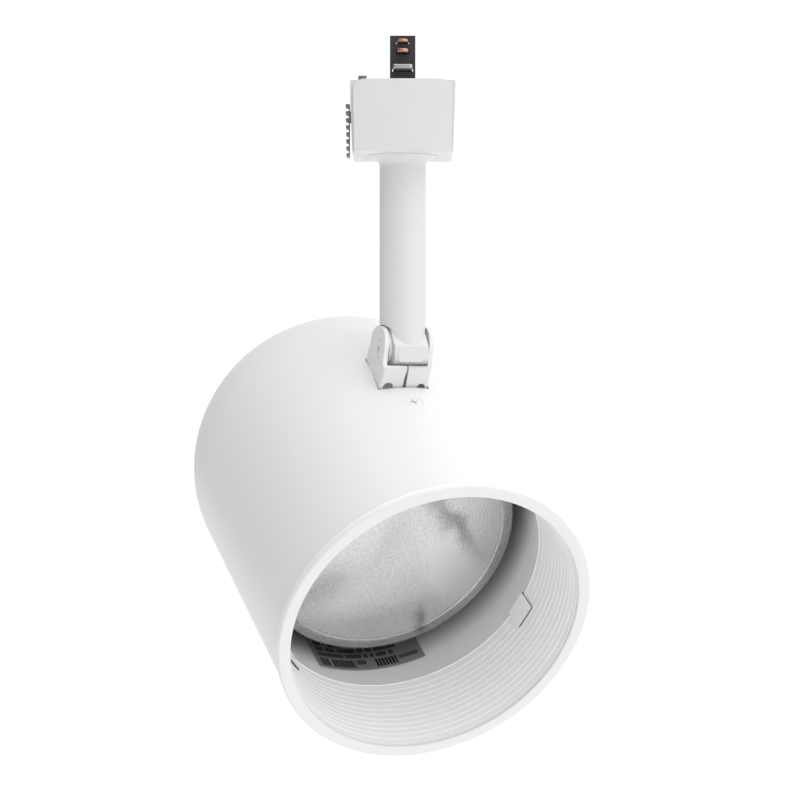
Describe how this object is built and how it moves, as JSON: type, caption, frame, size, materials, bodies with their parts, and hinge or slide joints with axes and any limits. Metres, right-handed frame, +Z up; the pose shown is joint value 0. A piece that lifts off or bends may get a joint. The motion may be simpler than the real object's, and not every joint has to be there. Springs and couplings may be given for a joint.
{
  "type": "track spotlight",
  "caption": "Line-voltage track spotlight: round-back cylinder head with stepped baffle and screw-in reflector lamp on a turning stem and track adapter.",
  "frame": {"origin": "centre of the adapter's flat top, where it seats against the track, on the stem's axis", "axes": "+Z up, out of the track seat; X along the track; -Y towards the side the head faces at zero heading"},
  "size_m": [0.1428, 0.1683, 0.2548],
  "materials": {
    "white_paint": "satin white powder coat",
    "white_plastic": "satin white moulding",
    "dark_plastic": "matt black insulator",
    "copper": "bright copper",
    "brass": "satin brass",
    "steel": "zinc-plated",
    "clip_steel": "bright spring steel",
    "label_foil": null,
    "porcelain": "glazed porcelain",
    "lens_glass": "stippled clear glass",
    "capsule_glass": "clear quartz",
    "reflector_silver": "aluminised glass",
    "cap_metal": "satin aluminium",
    "black_glass": "black glass"
  },
  "bodies": {
    "adapter": {"adapter_housing": "white_plastic", "adapter_front_cover": "white_plastic", "adapter_screw_left": "steel", "adapter_screw_right": "steel", "contact_block": "dark_plastic", "line_contact": "copper", "neutral_contact": "copper", "ground_strap": "copper", "track_lug_plate": "steel", "lock_spring": "steel"},
    "release": {"release_tab": "white_plastic"},
    "stem": {"stem_arm": "white_paint", "stem_nipple": "steel", "wave_washer": "steel", "swivel_nut": "brass", "stem_lock_nut": "brass", "friction_washer_left": "steel", "friction_washer_right": "steel", "pivot_screw_left": "white_paint", "pivot_screw_right": "white_paint"},
    "head": {"yoke_bracket": "white_paint", "housing_screw_front": "white_paint", "housing_screw_rear": "white_paint", "housing_shell": "white_paint", "baffle_trim": "white_paint", "baffle_clip_1": "clip_steel", "baffle_clip_2": "clip_steel", "baffle_clip_3": "clip_steel", "rating_label": "label_foil", "socket_body": "porcelain", "socket_liner": "brass", "socket_contact": "brass", "socket_strap": "steel", "socket_rivet": "white_paint"},
    "lamp_tip": {"lamp_contact": "brass"},
    "lamp": {"lamp_lens": "lens_glass", "lamp_reflector": "reflector_silver", "lamp_capsule": "capsule_glass", "lamp_cap": "cap_metal", "lamp_insulator": "black_glass"}
  },
  "joints": [
    {"name": "tab_release", "type": "slide", "parent": "adapter", "child": "release", "axis": [0, 0, 1], "range_m": [-0.0045, 0], "stiffness_N_per_m": 200, "springref_m": 0.008, "deforming": ["lock_spring"]},
    {"name": "pan", "type": "hinge", "parent": "adapter", "child": "stem", "pos_m": [0, 0, -0.0257], "axis": [0, 0, 1], "range_deg": [-197.7, 152.3]},
    {"name": "tilt", "type": "hinge", "parent": "stem", "child": "head", "pos_m": [0, 0, -0.0938], "axis": [0.9223, 0.3864, 0], "range_deg": [-32.6, 57.3]},
    {"name": "lamp_travel", "type": "slide", "parent": "head", "child": "lamp_tip", "axis": [0.3254, -0.7768, -0.5392], "range_m": [0, 0.024]},
    {"name": "lamp_turn", "type": "hinge", "parent": "lamp_tip", "child": "lamp", "pos_m": [0.01177, -0.0281, -0.19013], "axis": [0.3254, -0.7768, -0.5392], "range_deg": [0, 2340]}
  ],
  "couplings": [
    {"joint": "lamp_travel", "follows": "lamp_turn", "m_per_rad": 0.00057757}
  ]
}
